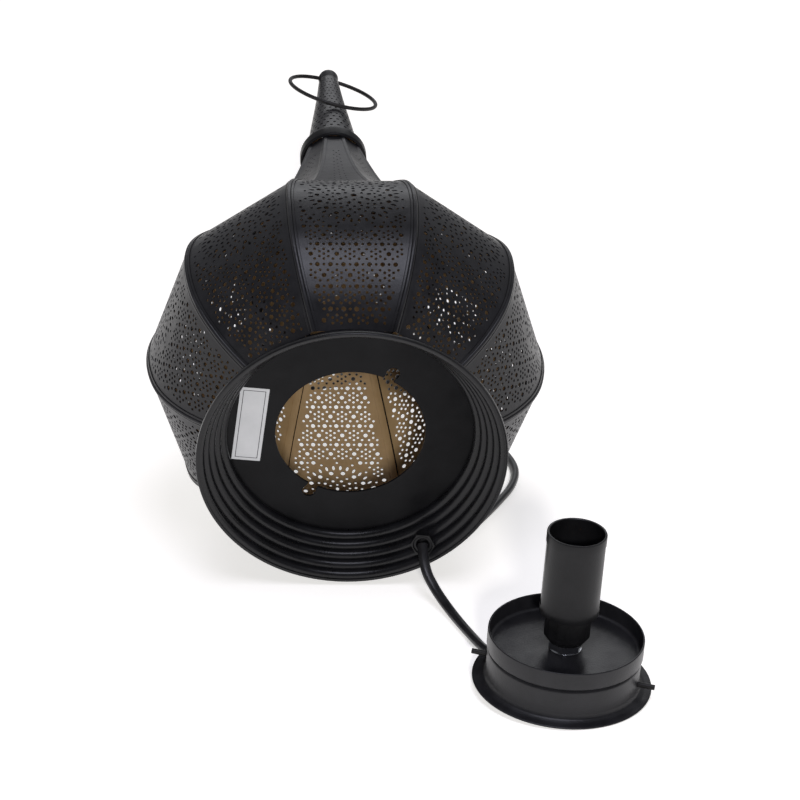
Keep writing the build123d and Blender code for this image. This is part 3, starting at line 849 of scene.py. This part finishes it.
sleeve_rows = [slot_low - 0.01, slot_low + 0.2, (slot_low + slot_high) / 2, slot_high - 0.2,
               slot_high + 0.01]
sleeve_outline = [(holder_inner_radius, sleeve_foot + 0.3), (holder_inner_radius + 0.3, sleeve_foot),
                  (holder_radius - 0.5, sleeve_foot), (holder_radius - 0.15, sleeve_foot + 0.15),
                  (holder_radius, sleeve_foot + 0.5)] \
    + [(holder_radius, row) for row in sleeve_rows] \
    + [(holder_radius, holder_top - 0.4), (holder_radius - 0.12, holder_top - 0.1),
       (holder_radius - 0.4, holder_top), (holder_inner_radius + 0.3, holder_top),
       (holder_inner_radius, holder_top - 0.3)]
turned_piece("sleeve", sleeve_outline, insert, "insert", moulded, ["holder_sleeve"], segments=180,
             shape=slotted)

core_step = holder_cap_top + 5
core_floor = holder_cap_top + 8
thread_foot = holder_cap_top + 12
thread_top = thread_foot + 18
core_outline = rounded([(0, holder_cap_top), (holder_inner_radius, holder_cap_top),
                        (holder_inner_radius, core_step), (9.6, core_step), (9.6, thread_top),
                        (thread_radius + 0.6, thread_top), (thread_radius + 0.6, core_floor),
                        (3.0, core_floor), (3.0, core_floor + 1), (0, core_floor + 1)], 0.25, 2)
turned_piece("core", core_outline, insert, "insert", moulded, ["holder_core"], segments=72)
thread_turns = 6
thread_steps = thread_turns * 8
thread_outline = [(thread_radius + 0.6, thread_foot), (thread_radius + 0.6, thread_top)]
for step in range(thread_steps, -1, -1):
    share = step / thread_steps
    thread_outline.append((thread_radius + 0.25 - 0.2 * cos(2 * pi * thread_turns * share),
                           thread_foot + share * (thread_top - thread_foot)))
turned_piece("threads", thread_outline, insert, "insert", ("brass", brass), ["thread_shell"], segments=72)


# ---------------- lead
def nurbs_path(name, route):
    """Points along the smooth curve that has the route as its control points."""
    curve = bpy.data.curves.new(name, "CURVE")
    curve.dimensions = "3D"
    spline = curve.splines.new("NURBS")
    spline.points.add(len(route) - 1)
    for point, place in zip(spline.points, route):
        point.co = (*place, 1)
    spline.order_u = 3
    spline.use_endpoint_u = True
    spline.resolution_u = 8
    carrier = bpy.data.objects.new(name, curve)
    bpy.context.scene.collection.objects.link(carrier)
    line = bpy.data.meshes.new_from_object(carrier)
    points = [vertex.co.copy() for vertex in line.vertices]
    bpy.data.objects.remove(carrier)
    bpy.data.curves.remove(curve)
    bpy.data.meshes.remove(line)
    return points


def sweep_mesh(name, path, section, twist=0.0, scales=None):
    """Section in millimetres swept along a path in metres, turning by twist degrees a millimetre."""
    vertices = []
    side = Vector((0, 0, 1))
    travelled = 0.0
    for index, place in enumerate(path):
        ahead = path[min(index + 1, len(path) - 1)] - path[max(index - 1, 0)]
        along = ahead.normalized()
        side = (side - along * side.dot(along)).normalized()
        across = along.cross(side)
        if index:
            travelled += (place - path[index - 1]).length / mm
        turn = radians(twist * travelled)
        scale = (scales[index] if scales else 1.0) * mm
        for x, y in section:
            u = (x * cos(turn) - y * sin(turn)) * scale
            v = (x * sin(turn) + y * cos(turn)) * scale
            vertices.append(place + across * u + side * v)
    rows, count = len(path), len(section)
    return solid_mesh(name, vertices, caps(rows, count) + bands(rows, count))


oval_corners = 20


def oval(width, height, pinch=0.0):
    """Section of a flat two-core lead, pulled in a little between its cores."""
    section = []
    for step in range(oval_corners):
        turn = 2 * pi * step / oval_corners
        waist = 1 - pinch * (1 - abs(cos(turn))) ** 2
        section.append((width / 2 * cos(turn), height / 2 * sin(turn) * waist))
    return section


cord_section = oval(cord_diameter, cord_narrow, cord_pinch)
clamp_exit = clamp @ Vector((clamp_reach, 0, clamp_height))
inner_bushing_face = bushing_centre + bushing_dir * bushing_reach * mm
outer_bushing_face = bushing_centre - bushing_dir * bushing_reach * mm
insert_route = [inner_bushing_face, at(36.4, 5.6, 16.6), at(42.0, -2.5, 7.6), at(49.0, -18.0, 3.0),
                at(55.5, -38.5, floor_height), at(62.5, -58.0, floor_height), at(73.0, -70.0, floor_height),
                clamp_exit]
insert_path = nurbs_path("insert_line", insert_route)
insert_lead = piece("lead_front", sweep_mesh("lead_front", insert_path, cord_section, twist=0.5), None,
                    "lead_rubber", [pvc_black], ["lead_to_insert"])
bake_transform(insert_lead)


def path_length(path):
    """Length of a path through its points, in metres."""
    return sum((end - start).length for start, end in zip(path, path[1:]))


path_length(insert_path)

switch_near = at(switch_centre[0] + switch_length / 2, switch_centre[1], switch_height / 2)
switch_far = at(switch_centre[0] - switch_length / 2, switch_centre[1], switch_height / 2)
floor_route = [outer_bushing_face, at(42.0, 42.5, 15.5), at(49.0, 55.5, 6.4), at(60.0, 69.0, floor_height),
               at(71.5, 88.0, floor_height), at(83.0, 110.5, floor_height), at(93.0, 132.0, floor_height),
               at(97.0, 154.5, floor_height), at(91.5, 179.0, floor_height), at(84.0, 203.0, floor_height),
               at(82.0, 232.0, floor_height), at(84.0, 262.0, floor_height), at(85.0, 292.0, floor_height),
               at(81.0, 322.0, floor_height), at(71.0, 347.0, 4.6), switch_near]
coil_route = [switch_far, at(-21.0, 355.0, 4.6), at(-36.0, 349.0, floor_height),
              at(-49.0, 337.5, floor_height)]
plug_route = [at(-12.0, 265.0, floor_height), at(4.0, 272.5, 4.4), at(*plug_back, plug_height)]


def coil_turns():
    """Two layers of turns: inwards on the floor, then outwards on top of them and off to the plug."""
    entry_angle = 112.9
    exit_angle = -79.2
    turns = (exit_angle - entry_angle) / 360 + 6
    per_turn = 24
    stretch = 1 / cos(pi / per_turn)
    upper_height = floor_height + cord_diameter
    radius_steps = [(0, 38.5), (0.25, coil_outer_radius), (2.25, coil_inner_radius),
                    (2.65, coil_inner_radius), (4.65, coil_outer_radius), (5.0, coil_outer_radius),
                    (5.3, 40.0), (turns, 40.2)]
    height_steps = [(0, floor_height), (2.25, floor_height), (2.65, upper_height), (5.12, upper_height),
                    (turns, floor_height)]
    points = []
    for step in range(1, int(turns * per_turn) + 1):
        turn = step / per_turn
        radius = np.interp(turn, *zip(*radius_steps)) * stretch
        height = np.interp(turn, *zip(*height_steps))
        angle = radians(entry_angle + 360 * turn)
        points.append(at(coil_centre[0] + radius * cos(angle), coil_centre[1] + radius * sin(angle), height))
    return points


outer_path = nurbs_path("outer_line", floor_route + coil_route + coil_turns() + plug_route)
outer_nodes = ["lead_to_switch", "lead_to_coil", "lead_coil", "lead_to_plug"]
outer_lead = piece("lead_outer", sweep_mesh("lead_outer", outer_path, cord_section, twist=0.35), "root",
                   "lead_rubber", [pvc_black], outer_nodes)


relief_length = 20.0
relief_scales = (4.6, 3.0)      # of the oval, at the housing and at the free end
relief_groove = 0.25
relief_oval = (2.0, 1.8)


def relief(name, place, outwards):
    """Tapered, ringed strain relief that follows the lead out of a housing."""
    nearest = min(range(len(outer_path)), key=lambda index: (outer_path[index] - place).length)
    here = min(nearest, len(outer_path) - 2)
    step = 1 if (outer_path[here + 1] - outer_path[here]).dot(outwards) > 0 else -1
    line = [outer_path[nearest]]
    index = nearest
    while path_length(line) < relief_length * mm:
        index += step
        line.append(outer_path[index])
    fine = []
    for start, end in zip(line, line[1:]):
        fine += [start.lerp(end, share / 4) for share in range(4)]
    scales = []
    for index in range(len(fine)):
        share = index / (len(fine) - 1)
        groove = relief_groove if index % 6 in (2, 3) and 0.1 < share < 0.9 else 0.0
        scales.append(relief_scales[0] - (relief_scales[0] - relief_scales[1]) * share - groove)
    mesh = sweep_mesh(name, fine, oval(*relief_oval), scales=scales)
    return piece(name, mesh, "root", "lead_rubber", [pvc_black], crease=40)


reliefs = [relief("relief_switch_near", switch_near, Vector((1, 0, 0))),
           relief("relief_switch_far", switch_far, Vector((-1, 0, 0))),
           relief("relief_plug", at(plug_back[0] - 1, plug_back[1], plug_height), Vector((-1, 0, 0)))]

tie_angle = radians(200)
tie_radius = (coil_inner_radius + coil_outer_radius) / 2
tie_low, tie_high = 0.2, 2 * cord_diameter + 0.5
tie_half = (8.2, (tie_high - tie_low) / 2)
tie_thickness = 0.7
tie_reach = 2.0
tie_out = (cos(tie_angle), sin(tie_angle), 0)
tie_centre = at(coil_centre[0] + tie_radius * tie_out[0], coil_centre[1] + tie_radius * tie_out[1],
                (tie_low + tie_high) / 2)
tie_plane = local_matrix(tie_centre, tie_out, (-tie_out[1], tie_out[0], 0))


def tie_mesh():
    """Flat band wrapped round the coil's turns."""
    loop = rounded([(tie_half[0], tie_half[1]), (-tie_half[0], tie_half[1]), (-tie_half[0], -tie_half[1]),
                    (tie_half[0], -tie_half[1])], 3.0, 6)
    vertices = []
    for grow, depth in ((0, -tie_reach), (0, tie_reach), (-tie_thickness, tie_reach),
                        (-tie_thickness, -tie_reach)):
        for x, y in loop:
            size = hypot(x, y)
            vertices.append((x * (1 + grow / size), y * (1 + grow / size), depth))
    return solid_mesh("coil_tie", vertices, bands(4, len(loop), closed=True), tie_plane)


coil_tie = piece("coil_tie", tie_mesh(), "root", "black_plastic", [plastic_black])
path_length(outer_path)


# ---------------- CAD nodes that stay
finishes = [(base_paint, ["base_plate"]), (black_paint, ["finial"]), (wire_black, ["bayonet_pins"]),
            (brass, ["centre_contact"]), (pvc_black, ["holder_cores"]),
            (zinc, ["threaded_nipple", "clamp_screws", "plug_pins"]),
            (plastic_black, ["bushing_nut", "lead_clamp", "switch_base", "switch_cover", "switch_rocker",
                             "plug_body"])]
for material, names in finishes:
    for name in names:
        nodes[name].data.materials.clear()
        nodes[name].data.materials.append(material)


# ---------------- floor, light and camera
def add_floor():
    """Wide pale floor that glows a little, so that it stays nearly white and shadows stay faint."""
    half = 5.0
    mesh = bpy.data.meshes.new("floor")
    corners = [(-half, -half, 0), (half, -half, 0), (half, half, 0), (-half, half, 0)]
    mesh.from_pydata(corners, [], [(0, 1, 2, 3)])
    material = bpy.data.materials.new("pale_floor")
    material.use_nodes = True
    shader = material.node_tree.nodes["Principled BSDF"]
    for name, value in (("Base Color", (0.84, 0.81, 0.77, 1)), ("Roughness", 0.9),
                        ("Specular IOR Level", 0.0), ("Emission Color", (1, 1, 1, 1)),
                        ("Emission Strength", 0.52)):
        shader.inputs[name].default_value = value
    mesh.materials.append(material)
    floor = bpy.data.objects.new("floor", mesh)
    bpy.context.scene.collection.objects.link(floor)


def add_light(name, kind, energy, colour):
    """A light, not placed yet."""
    data = bpy.data.lights.new(name, kind)
    data.energy = energy
    data.color = colour
    light = bpy.data.objects.new(name, data)
    bpy.context.scene.collection.objects.link(light)
    return light


def add_panel_light(name, place, target, size, energy, colour):
    """Soft rectangular light aimed at a point."""
    light = add_light(name, "AREA", energy, colour)
    light.data.shape = "RECTANGLE"
    light.data.size, light.data.size_y = size
    light.location = place
    light.rotation_euler = (Vector(target) - Vector(place)).to_track_quat("-Z", "Y").to_euler()


def add_flash(elevation, heading, spread, energy, colour):
    """Low light from in front, whose shadows fall behind the object, and which leaves no glints."""
    light = add_light("flash", "SUN", energy, colour)
    light.data.angle = radians(spread)
    light.rotation_euler = (radians(90 - elevation), 0, radians(heading))
    light.visible_glossy = False


def add_world():
    """Soft surroundings, brighter behind the object than in front of it."""
    world = bpy.data.worlds.new("studio")
    bpy.context.scene.world = world
    world.use_nodes = True
    tree = world.node_tree
    background = tree.nodes["Background"]
    place = node(tree, "ShaderNodeTexCoord")
    parts = node(tree, "ShaderNodeSeparateXYZ")
    shift = node(tree, "ShaderNodeMapRange", [("From Min", -1.0), ("From Max", 1.0)])
    tree.links.new(place.outputs["Generated"], parts.inputs["Vector"])
    tree.links.new(parts.outputs["Y"], shift.inputs["Value"])
    shade = ramp(tree, shift.outputs["Result"], (0.075, 0.075, 0.08), (0.34, 0.34, 0.35), 0.25, 0.95)
    tree.links.new(shade, background.inputs["Color"])


add_floor()
add_world()
add_panel_light("overhead", place=at(60, -500, 1300), target=at(0, 20, 100), size=(0.60, 0.92), energy=9,
                colour=(0.85, 0.86, 1.0))
add_panel_light("back_fill", place=at(120, 1350, 900), target=at(20, 60, 60), size=(0.9, 0.55), energy=2.4,
                colour=(0.96, 0.97, 1.0))
add_flash(elevation=21, heading=-0.5, spread=5, energy=2.1, colour=(1.0, 0.985, 0.96))

scene = bpy.context.scene
scene.view_settings.view_transform = "Standard"
camera_data = bpy.data.cameras.new("camera")
camera_data.lens = camera_lens
camera_data.sensor_width = 36.0
camera_data.clip_start = 0.05
camera = bpy.data.objects.new("camera", camera_data)
turned = Matrix.Rotation(radians(-camera_turn), 4, "Z") @ Matrix.Rotation(radians(90 - camera_drop), 4, "X")
camera.matrix_world = Matrix.Translation(at(*camera_place)) @ turned @ Matrix.Rotation(
    radians(camera_roll), 4, "Z")
scene.collection.objects.link(camera)
scene.camera = camera
